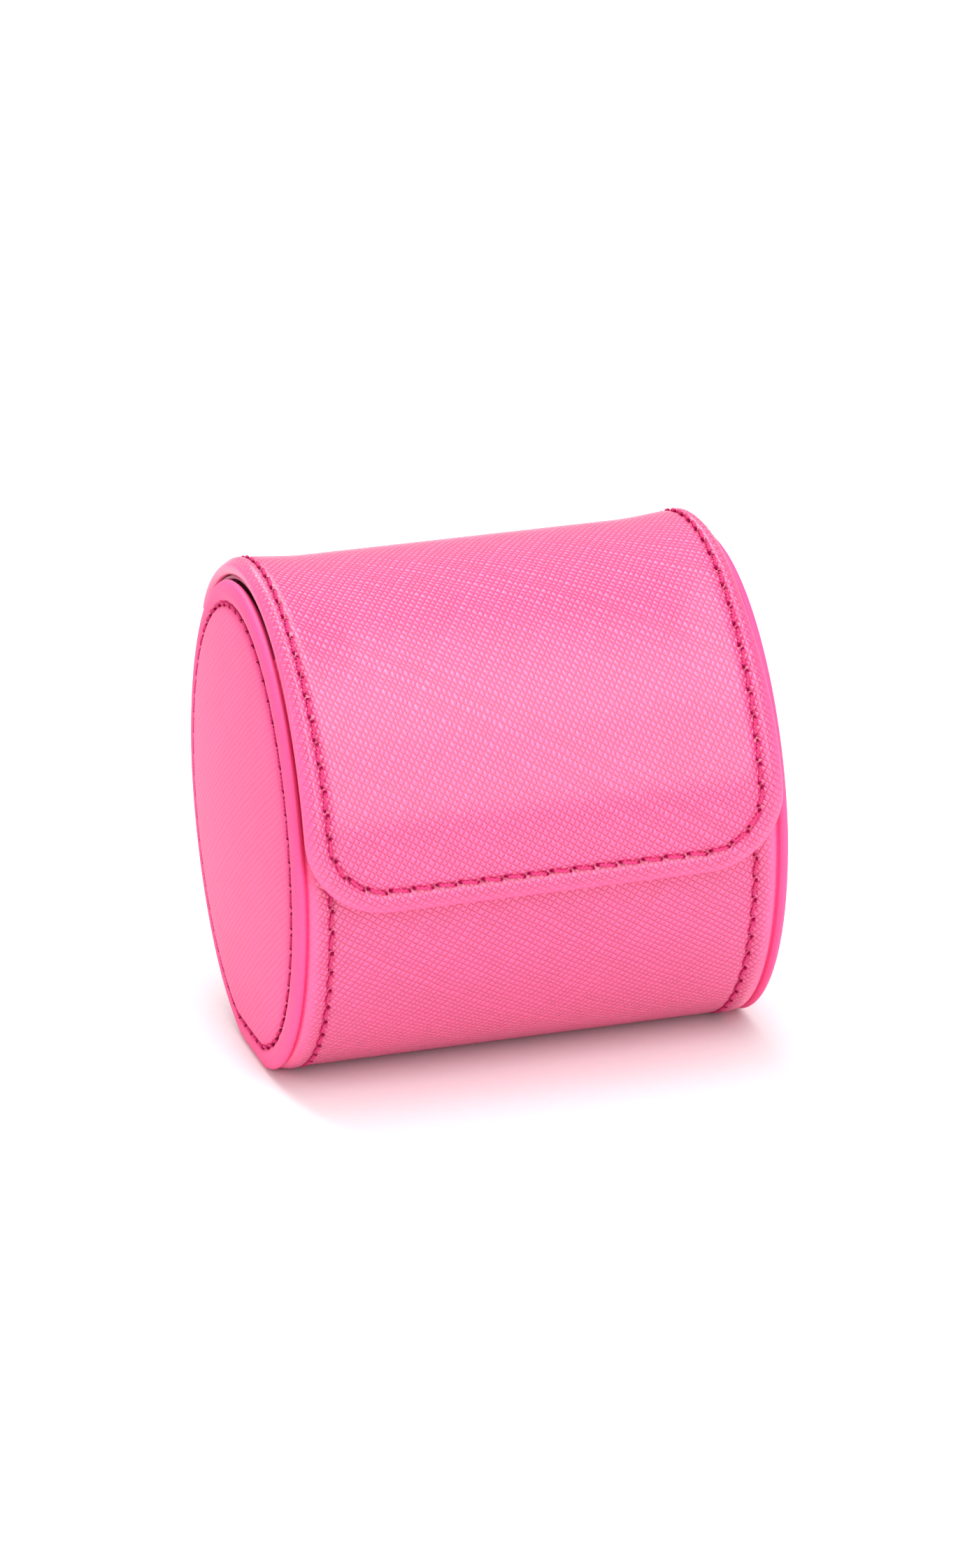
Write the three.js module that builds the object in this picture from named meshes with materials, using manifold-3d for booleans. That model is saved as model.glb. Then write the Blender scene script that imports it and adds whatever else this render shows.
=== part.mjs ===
// A barrel-shaped travel jewelry case. An oval tub of board wrapped in leather lies on its
// side between two domed end panels. A stiff flap, hinged by its own leather along the top of
// the back wall, goes over the top and overlaps the front, where hidden magnets hold it shut.
// A pillow for bracelets or a watch lifts out of the tub.
//
// Millimetres, +Z up, +X along the case, -Y to the front, origin at the middle of the base.
// Most pieces are rings about the case's long axis. They are made round, in a space whose
// origin is that axis, and then pressed to the oval section with its flat base. Angles are in
// degrees about the axis, 0 at the front and 90 at the top.

import * as THREE from "three";
import { mergeVertices } from "three/addons/utils/BufferGeometryUtils.js";
import Module from "manifold-3d";

const wasm = await Module();
wasm.setup();

// The oval section, measured over the tub's outer leather.
const HALF_HEIGHT = 39.2;
const HALF_DEPTH = 34.2;
const SEGMENTS = 60;
const BASE_ANGLE = 12; // the base is flat this far to each side of the lowest point
const AXIS_HEIGHT = HALF_HEIGHT * Math.cos(radians(BASE_ANGLE));

// The tub's wall: leather, board, lining. Each pair is an outer radius and a thickness.
const HALF_WRAP = 37.85;
const HALF_BOARD = 37.5;
const TUB_COVER = [HALF_HEIGHT, 0.9];
const TUB_BOARD = [HALF_HEIGHT - 1.05, 1.3];
const TUB_LINING = [HALF_HEIGHT - 2.5, 0.6];
const FRONT_TOP = 56.5; // the top of the front wall
const BACK_TOP = 155; // the top of the back wall, under the hinge

// The flap lies over the tub.
const HALF_FLAP = 38.3;
const FLAP_COVER = [HALF_HEIGHT + 3.2, 1];
const FLAP_BOARD = [HALF_HEIGHT + 2.05, 1.1];
const FLAP_LINING = [HALF_HEIGHT + 0.8, 0.5];
const FLAP_BACK = 137; // the end of the flap's stiff part, above the hinge
const FLAP_EDGE = -4.15; // the front edge's height over the axis
const FLAP_CORNER = 13;
const FLAP_LIP = 0.7; // the turned leather at the flap's sides
const HINGE_GAP = 0.25; // degrees between the hinge and what it joins

// Stitching, in grooves a fixed distance inside each leather edge.
const STITCH_INSET = 3.7;
const GROOVE_WIDTH = 0.9;
const GROOVE_DEPTH = 0.5;
const THREAD_RADIUS = 0.2;
const THREAD_DEPTH = 0.24; // from the leather's surface to the thread's middle

// End panels.
const END_FACE = 38.15; // the inboard face
const END_THICKNESS = 1.85; // at the rim
const DOME = 2;
const END_COVER = 0.8;
const END_BOARD = 0.9;
const END_LINING = 0.55;

// Magnets, one pair behind each half of the flap's front edge.
const MAGNET_X = 18;
const MAGNET_ANGLE = 10;
const MAGNET_RADIUS = 5;
const MAGNET_CLEARANCE = 0.4;

// The pillow, an oval roll that rests on the tub's lining.
const PILLOW_HALF_HEIGHT = 29;
const PILLOW_HALF_DEPTH = 21;
const PILLOW_HALF_LENGTH = 34.2;
const PILLOW_SKIN = 1.1;
const PILLOW_FORWARD = 1.2; // its middle is this far in front of the axis
const PILLOW_REST = 3.45; // the height of its lowest point

const MATERIALS = {
  saffiano: { color: 0xec3f8c, roughness: 0.5, metalness: 0 },
  endSaffiano: { color: 0xe0689c, roughness: 0.55, metalness: 0 },
  lining: { color: 0xd98fae, roughness: 0.9, metalness: 0 },
  board: { color: 0x9a8f80, roughness: 0.95, metalness: 0 },
  foam: { color: 0xe9e4d6, roughness: 1, metalness: 0 },
  magnet: { color: 0xb9bcc0, roughness: 0.3, metalness: 1 },
  thread: { color: 0xc81f63, roughness: 0.7, metalness: 0 },
  pillow: { color: 0xe3a4bd, roughness: 0.9, metalness: 0 },
};

function radians(degrees) {
  return (degrees * Math.PI) / 180;
}

// A point of the round space at a distance along the case, an angle and a radius.
function around(x, angle, radius) {
  const a = radians(angle);
  return new THREE.Vector3(x, -radius * Math.cos(a), radius * Math.sin(a));
}

function solidOf(geometry) {
  const bare = geometry.clone();
  bare.deleteAttribute("normal");
  bare.deleteAttribute("uv");
  const merged = mergeVertices(bare);
  const triVerts = new Uint32Array(merged.index.array);
  const vertProperties = merged.attributes.position.array;
  return new wasm.Manifold(new wasm.Mesh({ numProp: 3, vertProperties, triVerts }));
}

function geometryOf(solid) {
  const { vertProperties, triVerts } = solid.getMesh();
  const geometry = new THREE.BufferGeometry();
  geometry.setAttribute("position", new THREE.BufferAttribute(vertProperties, 3));
  geometry.setIndex(new THREE.BufferAttribute(triVerts, 1));
  return geometry;
}

// A closed outline of [radius, x] corners turned about the case's axis.
function turned(outline, segments = SEGMENTS) {
  const points = outline.map(([radius, x]) => new THREE.Vector2(radius, x));
  const geometry = new THREE.LatheGeometry(points, segments);
  return geometry.rotateZ(-Math.PI / 2);
}

function turnedSolid(outline) {
  return solidOf(turned([...outline, outline[0]]));
}

// The same shape on the other end of the case.
function mirrored(outline) {
  return outline.map(([radius, x]) => [radius, -x]).reverse();
}

// A shape drawn in the YZ plane, extruded along X from -half to half.
function acrossCase(shape, half) {
  const geometry = new THREE.ExtrudeGeometry(shape, { depth: 2 * half, bevelEnabled: false });
  const turn = new THREE.Matrix4().set(0, 0, 1, -half, 1, 0, 0, 0, 0, 1, 0, 0, 0, 0, 0, 1);
  return geometry.applyMatrix4(turn);
}

// The wedge between two angles, longer and wider than the case.
function wedge(from, to) {
  const reach = 4 * HALF_HEIGHT;
  const steps = Math.ceil((to - from) / 30);
  const shape = new THREE.Shape().moveTo(0, 0);
  for (let i = 0; i <= steps; i++) {
    const { y, z } = around(0, from + ((to - from) * i) / steps, reach);
    shape.lineTo(y, z);
  }
  return solidOf(acrossCase(shape, reach));
}

// Presses the round space to the oval section, flattens the base, and stands it on Z = 0.
function pressed(geometry) {
  const position = geometry.getAttribute("position");
  for (let i = 0; i < position.count; i++) {
    const y = (position.getY(i) * HALF_DEPTH) / HALF_HEIGHT;
    const z = position.getZ(i);
    const drop = HALF_HEIGHT * Math.sqrt(Math.max(0, 1 - (y / HALF_DEPTH) ** 2));
    const lift = z < 0 ? Math.max(0, drop - AXIS_HEIGHT) : 0;
    position.setY(i, y);
    position.setZ(i, AXIS_HEIGHT + z + lift);
  }
  return geometry;
}

const caseGroup = new THREE.Group();

function add(name, geometry, finish) {
  const plain = geometry.index ? geometry.toNonIndexed() : geometry;
  plain.deleteAttribute("normal");
  plain.computeVertexNormals();
  const mesh = new THREE.Mesh(plain, new THREE.MeshStandardMaterial(MATERIALS[finish]));
  mesh.name = name;
  caseGroup.add(mesh);
  return mesh;
}

function addPressed(name, solid, finish) {
  return add(name, pressed(geometryOf(solid)), finish);
}

// A plain band of the wall, between two radii.
function band([outer, thickness], half) {
  const inner = outer - thickness;
  return turnedSolid([[inner, -half], [outer, -half], [outer, half], [inner, half]]);
}

// A stitching groove's outline, in a surface at one radius.
function groove(radius, x) {
  const half = GROOVE_WIDTH / 2;
  const floor = radius - GROOVE_DEPTH;
  return [[radius, x - half], [floor, x - half + 0.1], [floor, x + half - 0.1], [radius, x + half]];
}

function threadSection(radius, x) {
  const r = THREAD_RADIUS;
  return [[radius - r, x], [radius, x - r], [radius + r, x], [radius, x + r]];
}

function magnetHoles(radius) {
  return [-1, 1].map((side) => magnet(side, radius, 6, MAGNET_RADIUS + MAGNET_CLEARANCE));
}

function magnet(side, middle, thickness, radius = MAGNET_RADIUS) {
  const geometry = new THREE.CylinderGeometry(radius, radius, thickness, 24);
  geometry.rotateX(-radians(MAGNET_ANGLE));
  const { x, y, z } = around(side * MAGNET_X, MAGNET_ANGLE, middle);
  return solidOf(geometry.translate(x, y, z));
}

function addMagnets(name, middle, thickness) {
  addPressed(name + "_left", magnet(-1, middle, thickness), "magnet");
  addPressed(name + "_right", magnet(1, middle, thickness), "magnet");
}

// The tub: front wall, bottom and back wall in one bent sheet of each layer.
function makeTub() {
  const mouth = wedge(FRONT_TOP, BACK_TOP);
  const [outer, thickness] = TUB_COVER;
  const stitchX = HALF_WRAP - STITCH_INSET;
  const leftSide = [
    [outer - thickness, -HALF_WRAP],
    [outer - 0.4, -HALF_WRAP],
    [outer, 0.5 - HALF_WRAP],
    ...groove(outer, -stitchX),
  ];
  const cover = turnedSolid([...leftSide, ...mirrored(leftSide)]);
  addPressed("tub_cover", cover.subtract(mouth), "saffiano");

  let board = band(TUB_BOARD, HALF_BOARD).subtract(mouth);
  for (const hole of magnetHoles(TUB_BOARD[0])) board = board.subtract(hole);
  addPressed("tub_board", board, "board");
  addPressed("tub_lining", band(TUB_LINING, HALF_BOARD).subtract(mouth), "lining");
  addMagnets("tub_magnet", TUB_BOARD[0] - 0.8, 0.8);

  const threadMouth = wedge(FRONT_TOP - 2, BACK_TOP + 2);
  for (const [side, x] of [["left", -stitchX], ["right", stitchX]]) {
    const thread = turnedSolid(threadSection(outer - THREAD_DEPTH, x)).subtract(threadMouth);
    addPressed("tub_thread_" + side, thread, "thread");
  }
}

// What is cut off below the flap's front edge and outside its rounded corners, where the flap
// is smaller all round by an inset.
function belowFlap(inset) {
  const half = HALF_FLAP - inset;
  const edge = FLAP_EDGE + inset;
  const corner = FLAP_CORNER - inset;
  const far = 2 * HALF_HEIGHT;
  const shape = new THREE.Shape();
  shape.moveTo(-far, -far);
  shape.lineTo(far, -far);
  shape.lineTo(far, edge + corner);
  shape.lineTo(half, edge + corner);
  shape.absarc(half - corner, edge + corner, corner, 0, -Math.PI / 2, true);
  shape.absarc(corner - half, edge + corner, corner, -Math.PI / 2, -Math.PI, true);
  shape.lineTo(-far, edge + corner);
  const options = { depth: far, bevelEnabled: false, curveSegments: 8 };
  return solidOf(new THREE.ExtrudeGeometry(shape, options).rotateX(Math.PI / 2));
}

// The line of stitches at one radius: forward over the top along the left side, round the
// front corners and back along the right side.
function flapStitchLine(radius) {
  const half = HALF_FLAP - STITCH_INSET;
  const corner = FLAP_CORNER - STITCH_INSET;
  const bottom = FLAP_EDGE + STITCH_INSET;
  const left = [];
  for (let angle = FLAP_BACK - 2; angle > 18; angle -= 6) left.push(around(-half, angle, radius));
  for (let turn = 0; turn <= 90; turn += 15) {
    const x = corner * (1 - Math.cos(radians(turn))) - half;
    const z = bottom + corner * (1 - Math.sin(radians(turn)));
    left.push(new THREE.Vector3(x, -Math.sqrt(radius ** 2 - z ** 2), z));
  }
  const right = left.map(({ x, y, z }) => new THREE.Vector3(-x, y, z)).reverse();
  return new THREE.CatmullRomCurve3([...left, ...right]);
}

// A tube along the flap's stitch line.
function stitchTube(radius, tubeRadius, sides) {
  const section = new THREE.Shape();
  for (let i = 0; i < sides; i++) {
    const a = (2 * Math.PI * i) / sides;
    const [u, v] = [tubeRadius * Math.cos(a), tubeRadius * Math.sin(a)];
    if (i === 0) section.moveTo(u, v);
    else section.lineTo(u, v);
  }
  const options = { steps: 76, extrudePath: flapStitchLine(radius), bevelEnabled: false };
  return solidOf(new THREE.ExtrudeGeometry(section, options));
}

// The flap, from above the hinge over the top to its front edge.
function makeFlap() {
  const span = wedge(-20, FLAP_BACK);
  const [outer, thickness] = FLAP_COVER;
  const under = FLAP_LINING[0] - FLAP_LINING[1];
  const leftSide = [
    [outer - thickness, FLAP_LIP - HALF_FLAP],
    [under, FLAP_LIP - HALF_FLAP],
    [under, 0.3 - HALF_FLAP],
    [under + 0.4, -HALF_FLAP],
    [outer - 0.5, -HALF_FLAP],
    [outer, 0.5 - HALF_FLAP],
  ];
  const cover = turnedSolid([...leftSide, ...mirrored(leftSide)])
    .intersect(span)
    .subtract(belowFlap(0))
    .subtract(stitchTube(outer, GROOVE_DEPTH + 0.1, 6));
  addPressed("flap_cover", cover, "saffiano");

  let board = band(FLAP_BOARD, HALF_FLAP - 2).intersect(span).subtract(belowFlap(2));
  for (const hole of magnetHoles(FLAP_BOARD[0])) board = board.subtract(hole);
  addPressed("flap_board", board, "board");
  const lining = band(FLAP_LINING, HALF_FLAP - 1).intersect(span).subtract(belowFlap(1));
  addPressed("flap_lining", lining, "lining");
  addMagnets("flap_magnet", FLAP_BOARD[0] - 0.7, 0.6);
  addPressed("flap_thread", stitchTube(outer - THREAD_DEPTH, THREAD_RADIUS, 4), "thread");
}

// A flexible strip between the flap and the back wall, from one layer's radius to another's.
function hingeStrip([fromRadius], [toRadius, thickness]) {
  const outside = [];
  const inside = [];
  const steps = 6;
  for (let i = 0; i <= steps; i++) {
    const share = i / steps;
    const from = FLAP_BACK + HINGE_GAP;
    const angle = from + (BACK_TOP - HINGE_GAP - from) * share;
    const radius = THREE.MathUtils.lerp(fromRadius, toRadius, THREE.MathUtils.smoothstep(share, 0, 1));
    outside.push(around(0, angle, radius));
    inside.unshift(around(0, angle, radius - thickness));
  }
  const points = [...outside, ...inside].map(({ y, z }) => new THREE.Vector2(y, z));
  return pressed(acrossCase(new THREE.Shape(points), HALF_BOARD));
}

function makeHinge() {
  add("hinge_cover", hingeStrip(FLAP_COVER, TUB_COVER), "saffiano");
  add("hinge_lining", hingeStrip(FLAP_LINING, TUB_LINING), "lining");
}

// The end panels. Each outline of the right one starts on the axis at the inboard side.
function makeEnds() {
  const rim = HALF_HEIGHT;
  const face = END_FACE + END_THICKNESS;
  const under = face - END_COVER;
  const stitch = rim - STITCH_INSET;
  const domeEdge = stitch - GROOVE_WIDTH / 2;
  const domed = (radius, base) => [radius, base + DOME * (1 - (radius / domeEdge) ** 2)];
  const cover = [
    ...[0, 16, 30, domeEdge].map((radius) => domed(radius, under)),
    [rim - END_COVER, under],
    [rim - END_COVER, END_FACE],
    [rim - 0.2, END_FACE],
    [rim, face - 1],
    [rim - 0.3, face - 0.3],
    [rim - 1, face],
    [domeEdge + GROOVE_WIDTH, face],
    [domeEdge + GROOVE_WIDTH - 0.1, face - GROOVE_DEPTH],
    [domeEdge + 0.1, face - GROOVE_DEPTH],
    ...[domeEdge, 30, 22, 12, 0].map((radius) => domed(radius, face)),
  ];
  const boardTop = END_FACE + END_BOARD;
  const foamBase = boardTop + 0.15;
  const padding = [
    [0, foamBase],
    [32, foamBase],
    ...[30, 16, 0].map((radius) => domed(radius, under - 0.15)),
  ];
  const disc = (radius, low, high) => [[0, low], [radius, low], [radius, high], [0, high]];
  const liningRadius = TUB_LINING[0] - TUB_LINING[1] - 0.2;
  const thread = threadSection(stitch, face - THREAD_DEPTH);
  const pieces = [
    ["end_cover_", cover, "endSaffiano"],
    ["end_padding_", padding, "foam"],
    ["end_board_", disc(rim - 1, END_FACE, boardTop), "board"],
    ["end_lining_", disc(liningRadius, HALF_BOARD - END_LINING, HALF_BOARD), "lining"],
    ["end_thread_", [...thread, thread[0]], "thread"],
  ];
  for (const [name, outline, finish] of pieces) {
    addPressed(name + "right", solidOf(turned(outline)), finish);
    addPressed(name + "left", solidOf(turned(mirrored(outline))), finish);
  }
}

// The pillow, made round with its own radius and then pressed and set down in the tub.
function makePillow() {
  const radius = PILLOW_HALF_HEIGHT;
  const length = PILLOW_HALF_LENGTH;
  const core = radius - PILLOW_SKIN - 0.2;
  const placed = (outline) =>
    turned(outline, 32)
      .scale(1, PILLOW_HALF_DEPTH / PILLOW_HALF_HEIGHT, 1)
      .translate(0, -PILLOW_FORWARD, PILLOW_REST + radius);
  const foam = [[0, 1 - length], [core - 1, 1 - length], [core, 3 - length]];
  add("pillow_foam", placed([...foam, ...mirrored(foam)]), "foam");
  const skin = [
    [radius - PILLOW_SKIN, 0.6 - length],
    [radius - 0.5, 0.6 - length],
    [radius - 0.1, 3 - length],
    [radius, -0.4 * length],
  ];
  const outside = [...skin, ...mirrored(skin)];
  add("pillow_cover", placed([...outside, outside[0]]), "pillow");
  const cap = [[0, -length], [core - 1.2, 0.1 - length], [core - 0.9, 0.8 - length], [0, 0.8 - length]];
  add("pillow_end_left", placed(cap), "pillow");
  add("pillow_end_right", placed(mirrored(cap)), "pillow");
}

makeTub();
makeFlap();
makeHinge();
makeEnds();
makePillow();

export default caseGroup;
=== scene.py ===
import math

import bmesh
import bpy
import numpy as np
from mathutils import Matrix, Vector


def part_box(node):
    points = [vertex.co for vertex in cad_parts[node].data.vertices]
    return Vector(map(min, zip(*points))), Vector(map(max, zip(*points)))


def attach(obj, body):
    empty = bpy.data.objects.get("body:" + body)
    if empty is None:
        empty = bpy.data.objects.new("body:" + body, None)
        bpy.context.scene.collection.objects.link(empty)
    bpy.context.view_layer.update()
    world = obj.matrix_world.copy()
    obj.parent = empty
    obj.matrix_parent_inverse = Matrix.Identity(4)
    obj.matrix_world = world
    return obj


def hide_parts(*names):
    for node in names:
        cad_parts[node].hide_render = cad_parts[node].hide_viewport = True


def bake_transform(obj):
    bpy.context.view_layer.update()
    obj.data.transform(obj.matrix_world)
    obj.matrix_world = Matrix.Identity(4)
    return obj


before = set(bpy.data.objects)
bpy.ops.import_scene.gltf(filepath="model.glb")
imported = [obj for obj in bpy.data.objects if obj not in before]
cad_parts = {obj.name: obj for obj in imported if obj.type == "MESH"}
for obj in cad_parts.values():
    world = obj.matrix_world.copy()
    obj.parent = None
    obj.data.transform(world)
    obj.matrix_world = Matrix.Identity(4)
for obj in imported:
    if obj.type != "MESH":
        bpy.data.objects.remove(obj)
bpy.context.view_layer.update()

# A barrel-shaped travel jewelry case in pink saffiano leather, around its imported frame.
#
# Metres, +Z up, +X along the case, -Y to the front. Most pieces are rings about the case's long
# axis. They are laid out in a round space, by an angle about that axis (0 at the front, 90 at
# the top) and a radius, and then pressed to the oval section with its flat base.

MM = 0.001

# The oval section, from the frame.
BASE_ANGLE = 12  # the base is flat this far to each side of the lowest point
HALF_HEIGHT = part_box("end_cover_left")[1].z / (1 + math.cos(math.radians(BASE_ANGLE)))
HALF_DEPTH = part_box("end_cover_left")[1].y
AXIS_HEIGHT = HALF_HEIGHT * math.cos(math.radians(BASE_ANGLE))

# The tub: leather round the front wall, the bottom and the back wall.
HALF_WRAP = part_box("tub_cover")[1].x
TUB_LEATHER = 0.9 * MM
TUB_TURNED = 0.5 * MM  # the leather's thickness where it is turned over the front wall
FRONT_TOP = 56.5
BACK_TOP = 155
TUB_INNER = HALF_HEIGHT - 3.1 * MM  # radius of the lining's face
LINING = 0.6 * MM
TURN_DOWN = 5.5  # degrees of leather turned down inside the front wall

# The flap.
HALF_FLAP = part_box("flap_cover")[1].x
FLAP_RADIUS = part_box("flap_cover")[1].z - AXIS_HEIGHT
FLAP_UNDER = HALF_HEIGHT + 0.3 * MM
FLAP_BACK = 137
FLAP_CORNER = 13 * MM
BORDER_REACH = 6.6 * MM  # how far in from the edge the stitched border's section goes
FLAP_FRONT = math.asin((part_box("flap_cover")[0].z - AXIS_HEIGHT) / FLAP_RADIUS) * FLAP_RADIUS

# The ends.
END_FACE = 39.8 * MM  # the rim's outer face
END_LEAN = 0.45 * MM  # how far the ends' tops lean in
END_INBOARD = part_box("end_cover_right")[0].x
DOME = 2 * MM

# Stitching.
STITCH_INSET = 3.7 * MM
STITCH_PITCH = 3.65 * MM
CHANNEL_DEPTH = 0.34 * MM
CHANNEL_WIDTH = 0.62 * MM
FAR = 9  # mm, a distance from the stitches at which nothing of them shows
HALF_LINING = 37.4 * MM


def srgb(red, green, blue):
    """A display colour, 0 to 255, as the linear colour that a shader takes."""
    values = [v / 255 for v in (red, green, blue)]
    return tuple(v / 12.92 if v <= 0.04045 else ((v + 0.055) / 1.055) ** 2.4 for v in values) + (1,)


# ---- Camera and light ----

def make_camera():
    """The photo's view: from the left and above, a little rolled."""
    azimuth, elevation, roll = (math.radians(v) for v in (15.34, 18.82, -1.84))
    distance, across, up = 1.1144, 0.79 * MM, 2.01 * MM
    back = Vector((
        -math.sin(azimuth) * math.cos(elevation),
        -math.cos(azimuth) * math.cos(elevation),
        math.sin(elevation),
    ))
    level = Vector((math.cos(azimuth), -math.sin(azimuth), 0))
    upright = back.cross(level)
    right = level * math.cos(roll) + upright * math.sin(roll)
    top = upright * math.cos(roll) - level * math.sin(roll)
    data = bpy.data.cameras.new("camera")
    data.lens = 161.3
    data.clip_start, data.clip_end = 0.05, 50
    camera = bpy.data.objects.new("camera", data)
    bpy.context.scene.collection.objects.link(camera)
    place = Vector((0, 0, AXIS_HEIGHT)) + back * distance + right * across + top * up
    turn = Matrix((right, top, back)).transposed().to_4x4()
    camera.matrix_world = Matrix.Translation(place) @ turn
    bpy.context.scene.camera = camera


def add_softbox(name, place, size, power):
    data = bpy.data.lights.new(name, "AREA")
    data.shape = "RECTANGLE"
    data.size, data.size_y = size
    data.energy = power
    light = bpy.data.objects.new(name, data)
    bpy.context.scene.collection.objects.link(light)
    light.location = place
    aim = Vector((0, 0, AXIS_HEIGHT)) - light.location
    light.rotation_euler = aim.to_track_quat("-Z", "Y").to_euler()


def make_studio():
    """A white room with an arc of softboxes over the case, and one at its left end."""
    world = bpy.data.worlds.new("studio")
    world.use_nodes = True
    background = world.node_tree.nodes["Background"]
    background.inputs["Color"].default_value = (1, 1, 1, 1)
    background.inputs["Strength"].default_value = 0.46
    bpy.context.scene.world = world
    bpy.context.scene.view_settings.view_transform = "Standard"
    add_softbox("left", (-1.4, -0.2, 0.6), (0.9, 0.9), 4)
    reach = 1.3
    side = math.radians(15)
    for rise, power in ((20, 5.5), (50, 7), (80, 6.5), (110, 6.5), (140, 6)):
        forward = reach * math.cos(math.radians(rise))
        height = AXIS_HEIGHT + reach * math.sin(math.radians(rise))
        place = (forward * math.sin(side), -forward * math.cos(side), height)
        add_softbox("arc_" + str(rise), place, (0.55, 0.69), power)
    mesh = bpy.data.meshes.new("floor")
    half = 5
    corners = [(-half, -half, 0), (half, -half, 0), (half, half, 0), (-half, half, 0)]
    mesh.from_pydata(corners, [], [(0, 1, 2, 3)])
    floor = bpy.data.objects.new("floor", mesh)
    bpy.context.scene.collection.objects.link(floor)
    finish = Finish("floor_paper", {"Roughness": 0.9})
    paper = finish.noise(finish.object_place(), 400, 3)
    finish.colour(finish.mix(paper, (0.86, 0.86, 0.86, 1), (0.9, 0.9, 0.9, 1)))
    mesh.materials.append(finish.material)


# ---- Materials ----

class Finish:
    """A material's node tree, with short ways to add the nodes that are used here."""

    def __init__(self, name, shader):
        self.material = bpy.data.materials.new(name)
        self.material.use_nodes = True
        self.tree = self.material.node_tree
        self.shader = self.tree.nodes["Principled BSDF"]
        for socket, value in shader.items():
            self.shader.inputs[socket].default_value = value

    def put(self, socket, value):
        if isinstance(value, bpy.types.NodeSocket):
            self.tree.links.new(value, socket)
        else:
            socket.default_value = value

    def node(self, kind, inputs, **settings):
        node = self.tree.nodes.new("ShaderNode" + kind)
        for key, value in settings.items():
            setattr(node, key, value)
        for key, value in inputs.items():
            self.put(node.inputs[key], value)
        return node

    def math(self, operation, *values):
        return self.node("Math", dict(enumerate(values)), operation=operation).outputs[0]

    def vector(self, operation, *values):
        node = self.node("VectorMath", dict(enumerate(values)), operation=operation)
        return node.outputs["Value" if operation == "DOT_PRODUCT" else "Vector"]

    def attribute(self, name):
        return self.node("Attribute", {}, attribute_name=name).outputs["Vector"]

    def object_place(self):
        return self.node("TexCoord", {}).outputs["Object"]

    def split(self, vector):
        return self.node("SeparateXYZ", {0: vector}).outputs

    def noise(self, place, scale, detail=2.0, output="Fac"):
        inputs = {"Vector": place, "Scale": scale, "Detail": detail}
        return self.node("TexNoise", inputs).outputs[output]

    def noise_along(self, distance, scale):
        inputs = {"W": distance, "Scale": scale, "Detail": 0.0}
        return self.node("TexNoise", inputs, noise_dimensions="1D").outputs["Fac"]

    def step(self, value, low, high, to_low=0.0, to_high=1.0):
        inputs = {"Value": value, "From Min": low, "From Max": high}
        inputs |= {"To Min": to_low, "To Max": to_high}
        return self.node("MapRange", inputs, interpolation_type="SMOOTHSTEP").outputs["Result"]

    def mix(self, share, a, b, blend="MIX"):
        node = self.node("Mix", {0: share, 6: a, 7: b}, data_type="RGBA", blend_type=blend)
        return node.outputs[2]

    def grey(self, value):
        return self.node("CombineColor", {0: value, 1: value, 2: value}).outputs[0]

    def colour(self, value):
        self.put(self.shader.inputs["Base Color"], value)

    def roughness(self, value):
        self.put(self.shader.inputs["Roughness"], value)

    def bump(self, height, distance):
        inputs = {"Height": height, "Distance": distance, "Strength": 1.0}
        self.put(self.shader.inputs["Normal"], self.node("Bump", inputs).outputs["Normal"])


GRAIN_ANGLES = (-34, 56)  # the two directions across the embossed lines, from +X
GRAIN_PITCHES = (0.93, 0.88)  # mm from line to line
LINE_WIDTH = 0.42  # of the way from a line to the middle of a cell


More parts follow.
